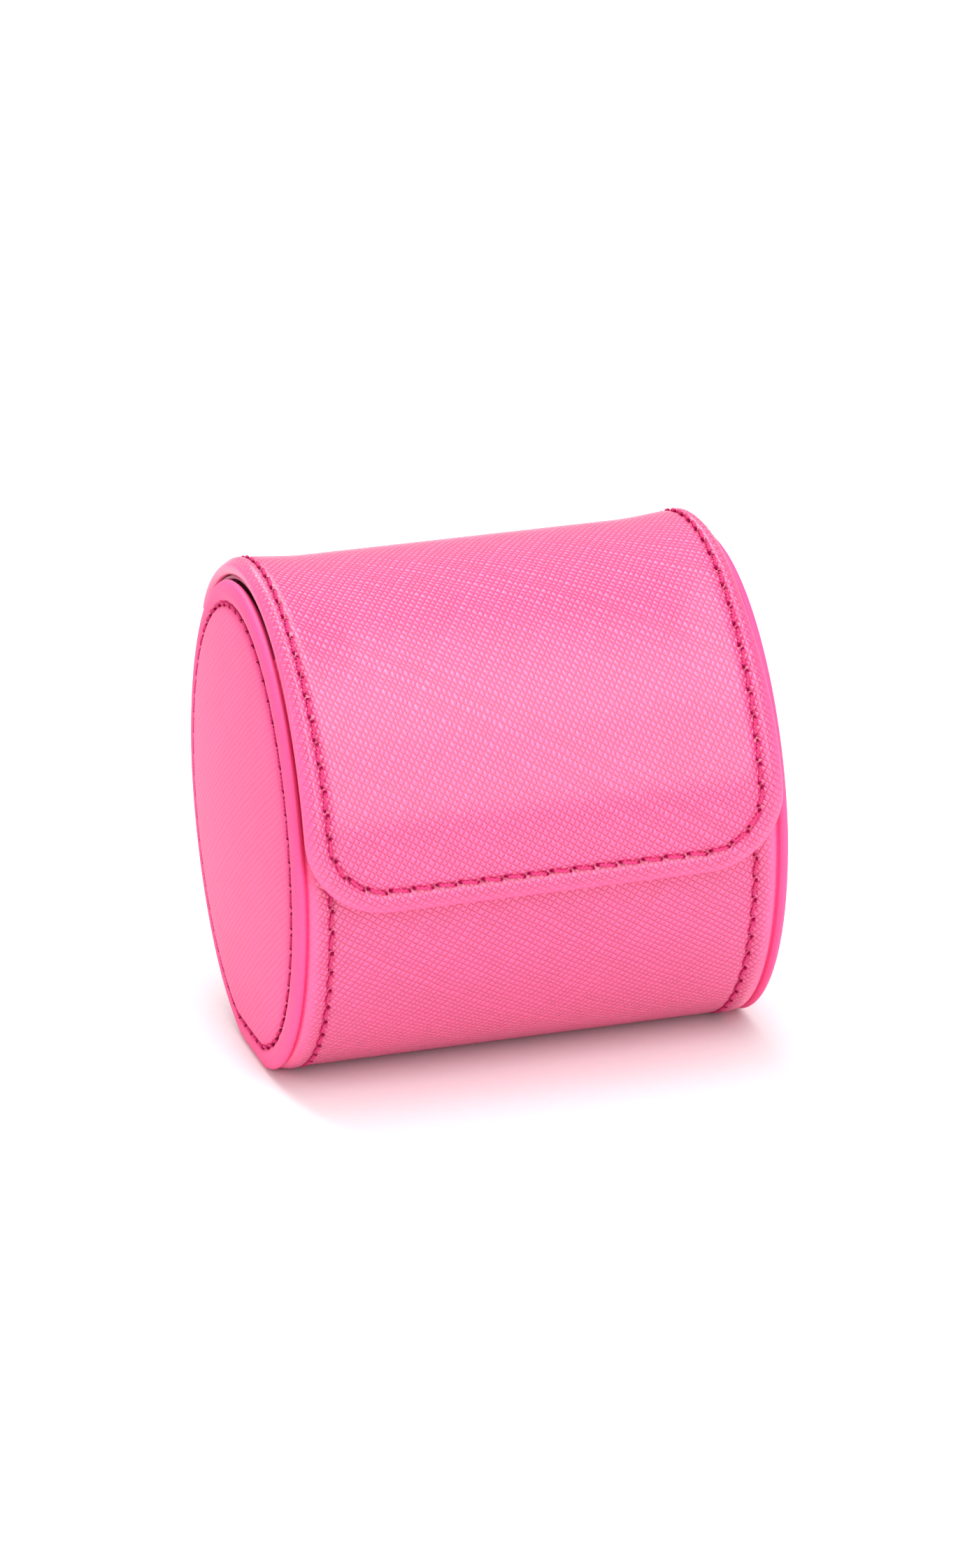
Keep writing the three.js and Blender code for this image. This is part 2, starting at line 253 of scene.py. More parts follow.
def saffiano(name, top, groove_shade, shader, relief=0.24):
    """Embossed leather: small raised cells between two families of fine diagonal lines, with painted shade
    in the lines and along the stitch channel.

    The sheet attribute is the place in the flat leather and the seam attribute is the distance
    along the stitches, the distance from them and the depth of the embossing, all in mm.
    """
    finish = Finish(name, shader)
    sheet = finish.attribute("sheet")
    off, depth = finish.split(finish.attribute("seam"))[1:3]
    drift = finish.noise(sheet, 0.22, 1.0, "Color")
    drift = finish.vector("SUBTRACT", drift, (0.5, 0.5, 0.5))
    drift = finish.vector("MULTIPLY", drift, (0.5, 0.5, 0))
    place = finish.vector("ADD", sheet, drift)
    lines = []
    for angle, pitch in zip(GRAIN_ANGLES, GRAIN_PITCHES):
        a = math.radians(angle)
        row = finish.vector("DOT_PRODUCT", place, (math.cos(a) / pitch, math.sin(a) / pitch, 0))
        uneven = finish.math("MULTIPLY_ADD", finish.noise_along(row, 0.43), 0.55, row)
        wave = finish.math("SINE", finish.math("MULTIPLY", uneven, math.pi))
        lines.append(finish.math("ABSOLUTE", wave))
    cell = finish.math("MULTIPLY", *(finish.step(line, 0.0, LINE_WIDTH) for line in lines))
    dome = finish.math("MULTIPLY", *(finish.math("POWER", line, 0.8) for line in lines))
    cell_height = finish.math("MULTIPLY", dome, depth)
    fine = finish.noise(sheet, 7.0, 2.0)
    cloudy = finish.noise(sheet, 0.11, 2.0)
    channel = finish.step(finish.math("ABSOLUTE", off), 0.25, 0.75, 1.0, 0.0)
    pressed = finish.math("SUBTRACT", 1.0, depth)
    # Painted shade: the embossed lines take a darker, redder colour that stands in for the shade in their
    # hollows. It fades to the cells' colour where the embossing is shallow, as on the rolled edges.
    colour = finish.mix(cell, groove_shade, top)
    colour = finish.mix(finish.math("MULTIPLY", pressed, 0.85), colour, top)
    shade = finish.step(cloudy, 0.3, 0.7, 0.965, 1.02)
    colour = finish.mix(1.0, colour, finish.grey(shade), "MULTIPLY")
    # Painted shade along the stitch channel: the pressed-in channel gets the darker line colour, standing
    # in for the shade in it.
    colour = finish.mix(finish.math("MULTIPLY", channel, 0.45), colour, groove_shade)
    finish.colour(colour)
    height = finish.math("MULTIPLY_ADD", fine, 0.05, cell_height)
    finish.bump(height, relief * MM)
    rough = finish.step(cell_height, 0.0, 0.6, 0.6, shader["Roughness"])
    finish.roughness(finish.math("ADD", rough, finish.math("MULTIPLY_ADD", fine, 0.12, -0.06)))
    return finish.material


def suede(name, dark, light, shader, pile=0.05):
    """Short-napped fabric, over the sheet attribute in mm."""
    finish = Finish(name, shader)
    sheet = finish.attribute("sheet")
    nap = finish.noise(sheet, 0.13, 3.0)
    fibre = finish.noise(sheet, 9.0, 3.0)
    weave = finish.noise(finish.vector("MULTIPLY", sheet, (1.0, 3.2, 1.0)), 3.5, 2.0)
    brushed = finish.step(nap, 0.3, 0.7, 0.0, 0.35)
    share = finish.math("ADD", brushed, finish.math("MULTIPLY", fibre, 0.5))
    finish.colour(finish.mix(share, dark, light))
    finish.bump(finish.math("ADD", fibre, finish.math("MULTIPLY", weave, 0.7)), pile * MM)
    return finish.material


def thread_finish():
    """Twisted thread, with painted shade at each stitch's ends, where it goes into its needle holes."""
    shader = {"Roughness": 0.8, "Specular IOR Level": 0.05}
    shader |= {"Sheen Weight": 0.05, "Sheen Roughness": 0.4}
    finish = Finish("stitching_thread", shader)
    sheet = finish.attribute("sheet")
    along, turn, from_middle = finish.split(sheet)[:3]
    twice_round = finish.math("MULTIPLY", turn, 2.0)
    ply = finish.math("ADD", finish.math("MULTIPLY", along, 9.0), twice_round)
    ridge = finish.math("ABSOLUTE", finish.math("SINE", ply))
    fuzz = finish.noise(sheet, 4.0, 2.0)
    colour = finish.mix(ridge, srgb(190, 14, 84), srgb(236, 76, 140))
    colour = finish.mix(finish.step(fuzz, 0.5, 0.75, 0.0, 0.5), colour, srgb(248, 130, 176))
    # Painted shade: a dark crimson at each stitch's ends stands in for the shade in the needle holes.
    hole_shade = finish.step(from_middle, 0.56, 0.82)
    finish.colour(finish.mix(hole_shade, colour, srgb(146, 0, 62)))
    finish.bump(finish.math("ADD", ridge, fuzz), 0.03 * MM)
    return finish.material


def plain_finish(name, dark, light, scale, shader, bump=0.05, stretch=(1, 1, 1)):
    """Board, foam or metal: two shades and a fine relief, by place in the object."""
    finish = Finish(name, shader)
    place = finish.vector("MULTIPLY", finish.object_place(), stretch)
    coarse = finish.noise(place, scale, 4.0)
    finish.colour(finish.mix(finish.step(coarse, 0.35, 0.65), dark, light))
    finish.bump(coarse, bump * MM)
    return finish.material


# ---- Shapes ----

def around(x, angle, radius):
    """Points at a distance along the case, an angle in degrees and a radius, pressed to the
    oval and lifted clear of the flat base."""
    x, angle, radius = np.broadcast_arrays(x, np.radians(angle), radius)
    y = -radius * np.cos(angle) * HALF_DEPTH / HALF_HEIGHT
    z = radius * np.sin(angle)
    below = HALF_HEIGHT * np.sqrt(np.clip(1 - (y / HALF_DEPTH) ** 2, 0, None))
    lift = np.clip(below - AXIS_HEIGHT, 0, None) * smoothstep(-z, 0, 0.7 * HALF_HEIGHT)
    return np.stack([x, y, AXIS_HEIGHT + z + lift], -1)


def smoothstep(value, low, high):
    share = np.clip((value - low) / (high - low), 0, 1)
    return share * share * (3 - 2 * share)


def leather_radius(angle):
    """The outer leather's radius: the flap's, then the hinge's slope down to the tub's."""
    return FLAP_RADIUS + (HALF_HEIGHT - FLAP_RADIUS) * smoothstep(angle, FLAP_BACK, BACK_TOP)


def path_lengths(points):
    """How far along a path each of its points is."""
    return np.concatenate([[0], np.cumsum(np.linalg.norm(np.diff(points, axis=0), axis=1))])


SHEET_ANGLES = np.arange(-20, 440, 0.25)
SHEET_LENGTHS = path_lengths(around(0, SHEET_ANGLES, leather_radius(SHEET_ANGLES)))


def unrolled(angle):
    """How far along the flat leather an angle is, in metres."""
    return np.interp(angle, SHEET_ANGLES, SHEET_LENGTHS)


def sag(x, angle):
    """How far the skin lies below its nominal radius: over the flap's top and at the hinge's folds."""
    across = 1 - smoothstep(np.abs(x) / HALF_FLAP, 0.66, 1.0)
    over_top = np.exp(-(((angle - 88) / 38) ** 2))
    folds = sum(fold_dip(unrolled(angle), unrolled(fold)) for fold in (FLAP_BACK, BACK_TOP))
    return (1.05 * across - 0.3) * MM * over_top + 0.3 * MM * folds


def fold_dip(along, fold):
    """1 on a fold across the leather, fading to 0 beside it."""
    return np.exp(-(((along - fold) / (1.1 * MM)) ** 2))


def stitch_dent(along, off):
    """The depth of the channel that the thread pulls into the leather, most at the needle holes."""
    phase = along / STITCH_PITCH
    from_hole = (phase - np.round(phase)) * STITCH_PITCH
    hole = np.exp(-((from_hole / (0.5 * MM)) ** 2))
    return (CHANNEL_DEPTH + 0.18 * MM * hole) * np.exp(-((off / CHANNEL_WIDTH) ** 2))


def whole_stitches(lengths):
    """Lengths along a seam, stretched to a whole number of stitches."""
    total = lengths[-1]
    return lengths * (round(total / STITCH_PITCH) * STITCH_PITCH / total)


def border_puff(off):
    """How far the border stands up between the stitches and the edge. off is towards the edge."""
    return 0.22 * MM * np.exp(-(((off - 1.5 * MM) / (1.0 * MM)) ** 2))


def quads(ids):
    """The faces of a grid of point numbers."""
    corners = [ids[:-1, :-1], ids[1:, :-1], ids[1:, 1:], ids[:-1, 1:]]
    return np.stack(corners, -1).reshape(-1, 4)


def add_mesh(name, points, faces, material, sheet=None, seam=None, flat=0):
    """A closed mesh facing outwards, whose last few faces are flat. The attributes are in mm."""
    points[:, 2] = np.maximum(points[:, 2], 0)
    mesh = bpy.data.meshes.new(name)
    mesh.from_pydata(points.tolist(), [], [tuple(int(i) for i in f) for f in faces])
    smooth = np.ones(len(faces), bool)
    if flat:
        smooth[-flat:] = False
    mesh.polygons.foreach_set("use_smooth", smooth)
    facing = bmesh.new()
    facing.from_mesh(mesh)
    bmesh.ops.recalc_face_normals(facing, faces=facing.faces)
    facing.to_mesh(mesh)
    facing.free()
    for label, values in (("sheet", sheet), ("seam", seam)):
        if values is not None:
            attribute = mesh.attributes.new(label, "FLOAT_VECTOR", "POINT")
            attribute.data.foreach_set("vector", np.asarray(values, np.float32).ravel())
    mesh.materials.append(material)
    obj = bpy.data.objects.new(name, mesh)
    bpy.context.scene.collection.objects.link(obj)
    return obj


def place_piece(obj, body, slot, *nodes):
    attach(obj, body)
    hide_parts(*nodes)


def section_path(angles, radii):
    """Points of the YZ plane at angles and radii, with the outward direction at each."""
    return with_normals(around(0, angles, radii)[:, 1:])


def with_normals(points):
    """Points of the YZ plane and the direction to the left of the path at each."""
    tangent = np.gradient(points, axis=0)
    tangent /= np.linalg.norm(tangent, axis=1)[:, None]
    return points, np.stack([-tangent[:, 1], tangent[:, 0]], -1)


def swept(name, path, columns, top, bottom, material, lengths, seam=None):
    """A strip carried along a path. Columns are places across it, and top and bottom are the two
    sides' heights over the path, one row for each of its points. Lengths are how far along the
    flat sheet the points are, and seam is the seam attribute of the top side."""
    points, normals = path
    both = np.concatenate([columns, columns[::-1]])
    heights = np.concatenate([top, bottom[:, ::-1]], 1)
    rows, count = heights.shape
    place = np.empty((rows, count, 3))
    place[..., 0] = both
    place[..., 1:] = points[:, None] + normals[:, None] * heights[..., None]
    ids = np.arange(rows * count).reshape(rows, count)
    faces = quads(np.concatenate([ids, ids[:, :1]], 1)).tolist()
    half = count // 2
    caps = []
    for row, turn in ((ids[0], 1), (ids[-1], -1)):
        pairs = np.stack([row[:half], row[::-1][:half]], 0)
        caps += [face[::turn] for face in quads(pairs).tolist()]
    edge = np.concatenate([columns, columns[::-1] + np.sign(columns[::-1]) * 2 * MM])
    sheet = np.zeros((rows, count, 3))
    sheet[..., 0] = edge / MM
    sheet[..., 1] = lengths[:, None] / MM
    seams = np.zeros((rows, count, 3))
    seams[..., 1] = FAR
    if seam is not None:
        seams[:, :half] = seam
    place, sheet, seams = (values.reshape(-1, 3) for values in (place, sheet, seams))
    return add_mesh(name, place, faces + caps, material, sheet, seams, len(caps))


def edge_columns(half, roll, border, fine, coarse):
    """Places across a strip, close together at its rolled edges and its stitched borders."""
    turn = np.radians(np.linspace(90, 0, 8))
    edge = half - roll + roll * np.sin(turn)
    inner = np.arange(half - roll - fine, half - border, -fine)
    count = int(np.ceil(2 * (half - border) / coarse))
    middle = np.linspace(border - half, half - border, count + 1)
    side = np.concatenate([edge, inner])
    return np.concatenate([-side, middle[1:-1], side[::-1]])


def edge_drop(columns, half, roll):
    """How far a rolled edge has turned down at each column."""
    past = np.clip(np.abs(columns) - (half - roll), 0, roll)
    return roll - np.sqrt(np.clip(roll**2 - past**2, 0, None))


# ---- The tub ----

def tub_path():
    """Over the back wall, the bottom and the front wall, over its top and down inside it."""
    angles = np.linspace(BACK_TOP, 360 + FRONT_TOP, 250)
    outside = around(0, angles, HALF_HEIGHT)[:, 1:]
    up = outside[-1] - outside[-2]
    up /= np.linalg.norm(up)
    inside_angles = np.linspace(FRONT_TOP, FRONT_TOP - TURN_DOWN, 10)
    inside = around(0, inside_angles, TUB_INNER)[:, 1:]
    centre = (outside[-1] + inside[0]) / 2
    out = outside[-1] - centre
    turn = np.radians(np.linspace(0, 180, 14)[1:-1])[:, None]
    over = centre + out * np.cos(turn) + up * np.linalg.norm(out) * np.sin(turn)
    return with_normals(np.concatenate([outside, over, inside]))


def make_tub(leather, lining):
    path = tub_path()
    lengths = unrolled(BACK_TOP) + path_lengths(path[0])
    roll = 1.0 * MM
    columns = edge_columns(HALF_WRAP, roll, 7 * MM, 0.42 * MM, 1.3 * MM)
    x, along = np.meshgrid(columns, lengths)
    off = np.abs(x) - (HALF_WRAP - STITCH_INSET)
    front_top = unrolled(360 + FRONT_TOP)
    angle = np.interp(along, SHEET_LENGTHS, SHEET_ANGLES)
    fold = 0.3 * MM * fold_dip(along, lengths[0])
    stitched = smoothstep(front_top - along, 0.2 * MM, 0.8 * MM)
    drop = edge_drop(columns, HALF_WRAP, roll)
    top = border_puff(off) - stitch_dent(along, off) * stitched - drop - fold
    full = smoothstep(front_top - along, -1 * MM, 5 * MM)
    thickness = TUB_TURNED + (TUB_LEATHER - TUB_TURNED) * full
    bottom = -thickness - np.maximum(drop - 0.3 * MM, 0)
    smooth_edge = smoothstep(HALF_WRAP - np.abs(x), 0.8 * MM, 2.2 * MM)
    shown = np.where(stitched > 0.5, off / MM, FAR)
    seam = np.stack([along / MM, shown, 0.15 + 0.85 * smooth_edge], -1)
    tub = swept("tub_leather", path, columns, top, bottom, leather, lengths, seam)
    place_piece(tub, "case", "saffiano_leather", "tub_cover")

    angles = np.linspace(BACK_TOP, 360 + FRONT_TOP - TURN_DOWN - 0.4, 120)
    strip = make_ring_sheet("tub_lining_sheet", angles, TUB_INNER, TUB_INNER, lining)
    place_piece(strip, "case", "lining_fabric", "tub_lining")


def make_ring_sheet(name, angles, from_radius, to_radius, material):
    """A lining whose face is at a radius that changes from one end to the other."""
    share = smoothstep(angles, angles[0], angles[-1])
    radii = from_radius + (to_radius - from_radius) * share
    points, normals = section_path(angles, radii)
    roll = 0.25 * MM
    columns = edge_columns(HALF_LINING, roll, 2 * MM, 0.5 * MM, 2 * MM)
    drop = edge_drop(columns, HALF_LINING, roll)
    lengths = path_lengths(points)
    face = np.broadcast_to(drop, (len(points), len(columns)))
    back = np.full_like(face, LINING - 0.05 * MM)
    return swept(name, (points, normals), columns, back, face, material, lengths)


# ---- The hinge ----

def hinge_end(angle):
    return Vector(around(0, angle, (FLAP_RADIUS + HALF_HEIGHT) / 2 - 1.5 * MM))


def blend_hinge(strip, node):
    """Hides the CAD node that a hinge strip stands for and bakes the strip's placement into its mesh."""
    start = hinge_end(BACK_TOP - 0.5)
    end = hinge_end(FLAP_BACK + 0.5)
    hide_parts(node)
    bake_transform(strip)


def make_hinge(leather, lining):
    angles = np.linspace(FLAP_BACK, BACK_TOP, 40)
    path = section_path(angles, leather_radius(angles))
    roll = 0.45 * MM
    columns = edge_columns(HALF_WRAP, roll, 7 * MM, 0.42 * MM, 1.3 * MM)
    x, angle = np.meshgrid(columns, angles)
    drop = edge_drop(columns, HALF_WRAP, roll)
    top = -sag(x, angle) - drop
    bottom = -TUB_LEATHER - sag(x, angle) + drop
    seam = np.zeros(top.shape + (3,))
    seam[..., 1] = FAR
    seam[..., 2] = 0.15 + 0.85 * smoothstep(HALF_WRAP - np.abs(x), 0.3 * MM, 1.5 * MM)
    lengths = unrolled(angles)
    strip = swept("hinge_leather", path, columns, top, bottom, leather, lengths, seam)
    blend_hinge(strip, "hinge_cover")
    angles = np.linspace(FLAP_BACK, BACK_TOP, 30)
    strip = make_ring_sheet("hinge_lining_sheet", angles, FLAP_UNDER, TUB_INNER, lining)
    blend_hinge(strip, "hinge_lining")


# ---- The flap ----

def shoulder(angle):
    """How much the flap's stitched border is bent down, 0 to 1: most over the top."""
    return smoothstep(angle, 13, 64) * (1 - smoothstep(angle, 94, 132))


def border_bend(inset, angle, over_wall):
    """How far the bent border lies below the flap. There is no room for it over the front wall."""
    room = smoothstep(angle, 60, 68) if over_wall else 1.0
    bent = np.clip(1 - inset / STITCH_INSET, 0, 1) ** 1.3
    return 0.85 * MM * shoulder(angle) * bent * room


def flap_plan(inset, counts):
    """The flap's outline at an inset, as x and the arc at its outer radius, from the left back
    round the front to the right back."""
    side, corner, front = counts
    centre_x = HALF_FLAP - FLAP_CORNER
    centre_v = FLAP_FRONT + FLAP_CORNER
    back = math.radians(FLAP_BACK) * FLAP_RADIUS
    down = np.linspace(back, centre_v, side)
    bent = shoulder(np.degrees(down / FLAP_RADIUS))
    narrowing = (0.7 * MM, -0.35 * MM, -0.25 * MM)
    squeeze = bent * np.interp(inset, (0, STITCH_INSET, BORDER_REACH), narrowing)
    to_left = 0.3 * MM * bent
    left = np.stack([inset - HALF_FLAP + squeeze, down], -1)
    turn = np.radians(np.linspace(0, 90, corner + 1)[1:])
    radius = FLAP_CORNER - inset
    bend = np.stack([-centre_x - radius * np.cos(turn), centre_v - radius * np.sin(turn)], -1)
    left = np.concatenate([left, bend])
    across = np.linspace(-centre_x, centre_x, front + 1)[1:-1]
    bottom = np.stack([across, np.full(front - 1, FLAP_FRONT + inset)], -1)
    outline = np.concatenate([left, bottom, left[::-1] * (-1, 1)])
    outline[:side, 0] -= to_left
    outline[-side:, 0] -= to_left[::-1]
    return outline


def flap_points(plan, flat_plan, section, along, off):
    """Points over a plan of the flap, with their sheet and seam attributes. section is inset,
    radius, embossing and share of the skin's sag. off is the distance out from the stitches."""
    inset, radius, relief, skin = section
    angle = np.degrees(plan[:, 1] / FLAP_RADIUS)
    over_wall = radius < FLAP_UNDER + 1 * MM
    radius = radius - skin * sag(plan[:, 0], angle) - border_bend(inset, angle, over_wall)
    if skin > 0.9 and off < FAR * MM:
        radius = radius - (stitch_dent(along, off) - border_puff(off))
    flat = np.degrees(flat_plan[:, 1] / FLAP_RADIUS)
    sheet = np.stack([flat_plan[:, 0] / MM, unrolled(flat) / MM, 0 * flat], -1)
    count = len(plan)
    seam = np.stack([along / MM, np.full(count, off / MM), np.full(count, relief)], -1)
    return around(plan[:, 0], angle, radius), sheet, seam


def flap_shell(name, outside, inside, counts, material):
    """A shell over the flap's plan. outside and inside are the two faces of its section at the
    edge, as rows of inset, radius, embossing and share of the skin's sag, from well inside the
    flap to the tip of the section."""
    side, corner, front = counts
    rows = side + corner
    along = whole_stitches(flap_lengths(flap_plan(STITCH_INSET, counts)))
    points, sheets, seams, faces, backs, rings = [], [], [], [], [], []

    def add(*piece):
        """Takes in the points of one piece of the shell and gives their numbers."""
        start = sum(len(p) for p in points)
        for values, more in zip((points, sheets, seams), flap_points(*piece)):
            values.append(more)
        return start + np.arange(len(points[-1]))

    for face in (outside, inside):
        ids = []
        for section, reach in zip(face, path_lengths(face[:, :2])):
            inset, radius = section[:2]
            stitched = face is outside and radius > FLAP_RADIUS - 1 * MM
            off = STITCH_INSET - inset if stitched else FAR * MM
            plan, flat_plan = flap_plan(inset, counts), flap_plan(face[0, 0] - reach, counts)
            ids.append(add(plan, flat_plan, section, along, off))
        rings.append(np.array(ids))
        plan = flap_plan(face[0, 0], counts)
        grid = np.empty((rows, front + 1), int)
        grid[:, 0], grid[:, -1] = ids[0][:rows], ids[0][::-1][:rows]
        grid[-1] = ids[0][rows - 1 : rows + front]
        left, right = plan[:rows], plan[::-1][:rows]
        share = np.linspace(0, 1, front + 1)[1:-1]
        inner = left[:-1, None] + (right[:-1, None] - left[:-1, None]) * share[:, None]
        inner = inner.reshape(-1, 2)
        off = -FAR * MM if face is outside else FAR * MM
        middle = add(inner, inner, face[0], np.zeros(len(inner)), off)
        grid[:-1, 1:-1] = middle.reshape(rows - 1, front - 1)
        backs.append(grid[0])
        order = 1 if face is outside else -1
        faces += quads(grid)[:, ::order].tolist()
        faces += quads(rings[-1])[:, ::-order].tolist()
    faces += quads(np.stack([rings[0][-1], rings[1][-1]]))[:, ::-1].tolist()
    caps = quads(np.stack(backs))[:, ::-1].tolist()
    for end, order in ((0, 1), (-1, -1)):
        pair = np.stack([rings[0][:, end], rings[1][:, end]])
        caps += quads(pair)[:, ::order].tolist()
    points, sheets, seams = (np.concatenate(values) for values in (points, sheets, seams))
    return add_mesh(name, points, faces + caps, material, sheets, seams, len(caps))


def flap_lengths(plan):
    """How far along an outline of the flap each of its points is."""
    return path_lengths(around(plan[:, 0], np.degrees(plan[:, 1] / FLAP_RADIUS), FLAP_RADIUS))


def flap_section():
    """The leather's two faces at the flap's edge: the stitched border, the rolled edge and the
    part turned under, up to the lining."""
    insets = [BORDER_REACH / MM, 6.0, 5.4, 4.9, 4.5, 4.2, 3.95, 3.7, 3.45, 3.2, 2.9, 2.6, 2.3, 2.05]
    outer = FLAP_RADIUS / MM
    outside = [(inset, outer, 1, 1) for inset in insets]
    inside = [(inset, outer - 1, 0, 1) for inset in insets]
    for turn in np.radians(np.linspace(0, 180, 17)):
        wide, thick = (1.8, 1) if turn < math.pi / 2 else (0.9, 0.7)
        inset = wide * (1 - math.sin(turn))
        radius = outer - 1 + math.cos(turn)
        skin = 1 - turn / math.pi
        outside.append((inset, radius, max(0.0, 1 - 2.5 * turn / math.pi), skin))
        inner = max(inset, 0.8 * math.sin(turn))
        inside.append((inner, radius - thick * math.cos(turn), 0, skin))
    outside.append((1.9, outer - 2, 0, 0))
    inside.append((1.9, outer - 1.3, 0, 0))
    scale = np.array([MM, MM, 1, 1])
    return np.array(outside) * scale, np.array(inside) * scale


def make_flap(leather, lining):
    outside, inside = flap_section()
    flap = flap_shell("flap_leather", outside, inside, (165, 40, 100), leather)
    place_piece(flap, "flap", "saffiano_leather", "flap_cover")

    under = FLAP_UNDER / MM
    insets = (BORDER_REACH / MM, 4.5, 3.4, 2.4, 1.5, 1.1, 0.85, 0.75)
    rises = (0, 0, 0, 0, 0.03, 0.12, 0.3, 0.6)
    scale = np.array([MM, MM, 1, 1])
    face = scale * [(inset, under + rise, 1, 0) for inset, rise in zip(insets, rises)]
    back = scale * [(max(inset, 1.0), under + 0.68, 1, 0) for inset in insets]
    panel = flap_shell("flap_lining_panel", face, back, (90, 20, 54), lining)
    place_piece(panel, "flap", "lining_fabric", "flap_lining")


# ---- The ends ----

def end_section():
    """The leather over one end: a domed middle, a stitched channel and a rolled rim, as rows of
    radius and distance from the rim's face, for the outer and the inner side."""
    rim = HALF_HEIGHT
    stitch = rim - STITCH_INSET
    middle = np.linspace(0, stitch - 2.4 * MM, 46)
    border = np.linspace(stitch - 2.1 * MM, rim - 1.8 * MM, 17)
    radii = np.concatenate([middle, border])
    rise = 0.3 * MM * (1 - np.exp(-np.clip(stitch - radii, 0, None) / (1.3 * MM)))
    dome = (DOME - 0.3 * MM) * np.clip(1 - (radii / stitch) ** 2, 0, None) + rise
    puff = 0.12 * MM * np.exp(-(((radii - stitch - 1.9 * MM) / (1.0 * MM)) ** 2))
    face = dome + puff
    turn = np.radians(np.linspace(0, 90, 10)[1:])
    depth = END_INBOARD - END_FACE
    # From the rim's corner inboard, over the board's edge and down its inner face: how far out
    # from the rim's radius and how far outboard of the end, for the two sides of the leather.
    hem = [(-0.35, 0.08), (-0.5, 0), (-0.95, -0.08), (-0.98, -0.42), (-1.2, -0.55), (-3.4, -0.55)]
    back = [(-0.8, 0.25), (-0.8, 0.2), (-0.8, 0.1), (-0.9, 0.02), (-1.4, -0.05), (-3.4, -0.05)]
    hem, back = np.array(hem) * MM, np.array(back) * MM
    outer_r = np.concatenate([radii, rim - 1.8 * MM * (1 - np.sin(turn)), rim + hem[:, 0]])
    outer_x = np.concatenate([face, -1.1 * MM * (1 - np.cos(turn)), depth + hem[:, 1]])
    tangent = np.gradient(np.stack([outer_r, outer_x], -1), axis=0)
    tangent /= np.linalg.norm(tangent, axis=1)[:, None]
    thickness = 0.75 * MM
    inner_r = np.clip(outer_r + tangent[:, 1] * thickness, 0, rim - 0.8 * MM)
    inner_x = outer_x - tangent[:, 0] * thickness
    inner_r[-len(back) :] = rim + back[:, 0]
    inner_x[-len(back) :] = depth + back[:, 1]
    inner_r[0] = 0
    return outer_r, outer_x, inner_r, inner_x


def lean_in(points, side):
    """An end's points, with its top leaning towards the middle of the case."""
    points[..., 0] -= side * END_LEAN * np.clip((points[..., 2] - AXIS_HEIGHT) / HALF_HEIGHT, 0, 1)
    return points


def lathe(name, sections, side, material, stitched=False):
    """A closed disc turned about the case's axis, from its outer and inner sections. The outer
    side may have the stitches' channel."""
    count = 240
    angles = np.arange(count) * 360 / count
    outer_r, outer_x, inner_r, inner_x = sections
    points, ids, seams = [], [], []
    loop = around(0, np.append(angles, 360), HALF_HEIGHT - STITCH_INSET)
    along = whole_stitches(path_lengths(loop))[:-1]
    for outside, radii, depth in ((True, outer_r, outer_x), (False, inner_r, inner_x)):
        a, r = np.meshgrid(angles, radii[1:])
        s = np.broadcast_to(along, a.shape)
        off = r - (HALF_HEIGHT - STITCH_INSET)
        face_depth = np.repeat(depth[1:, None], count, 1)
        if outside and stitched:
            face_depth = face_depth - stitch_dent(s, off) * (depth[1:, None] > -1.2 * MM)
            relief = 0.1 + 0.75 * smoothstep(-off, 0.3 * MM, 1.6 * MM)
            seam = np.stack([s / MM, off / MM, relief], -1)
        else:
            seam = np.stack([s * 0, s * 0 + FAR, s * 0 + 0.3], -1)
        ring = lean_in(around(side * (END_FACE + face_depth), a, r), side)
        start = sum(len(p) for p in points)
        points += [around(side * (END_FACE + depth[0]), 0, 0.0)[None], ring.reshape(-1, 3)]
        seams += [np.array([[0, seam[0, 0, 1], 0.85]]), seam.reshape(-1, 3)]
        ids.append((start, start + 1 + np.arange(ring[..., 0].size).reshape(-1, count)))
    faces = []
    for (pole, grid), turn in zip(ids, (1, -1)):
        wrapped = np.concatenate([grid, grid[:, :1]], 1)
        faces += [f[::turn] for f in quads(wrapped).tolist()]
        faces += [(pole, a, b)[::-turn] for a, b in zip(wrapped[0][:-1], wrapped[0][1:])]
    rims = np.stack([ids[0][1][-1], ids[1][1][-1]])
    faces += quads(np.concatenate([rims, rims[:, :1]], 1)).tolist()
    points = np.concatenate(points)
    sheet = np.stack([-side * points[:, 1], points[:, 2], 0 * points[:, 2]], -1) / MM
    return add_mesh(name, points, faces, material, sheet, np.concatenate(seams))


def make_ends(leather, lining):
    cover = end_section()
    radius = TUB_INNER - 0.2 * MM
    back = 37.5 * MM - END_FACE
    rim = radius - np.array([0.5, 0.2, 0.02]) * MM
    radii = np.concatenate([np.linspace(0, radius - 1 * MM, 16), rim])
    face = back - 0.25 * MM - 0.35 * MM * np.clip(1 - (radii / radius) ** 6, 0, None)
    panel = (radii, np.full(len(radii), back), radii, face)
    for label, side in (("left", -1), ("right", 1)):
        piece = lathe("end_leather_" + label, cover, side, leather, stitched=True)
        place_piece(piece, "case", "end_leather", "end_cover_" + label)
        piece = lathe("end_lining_panel_" + label, panel, side, lining)
        place_piece(piece, "case", "lining_fabric", "end_lining_" + label)


# ---- Stitching ----

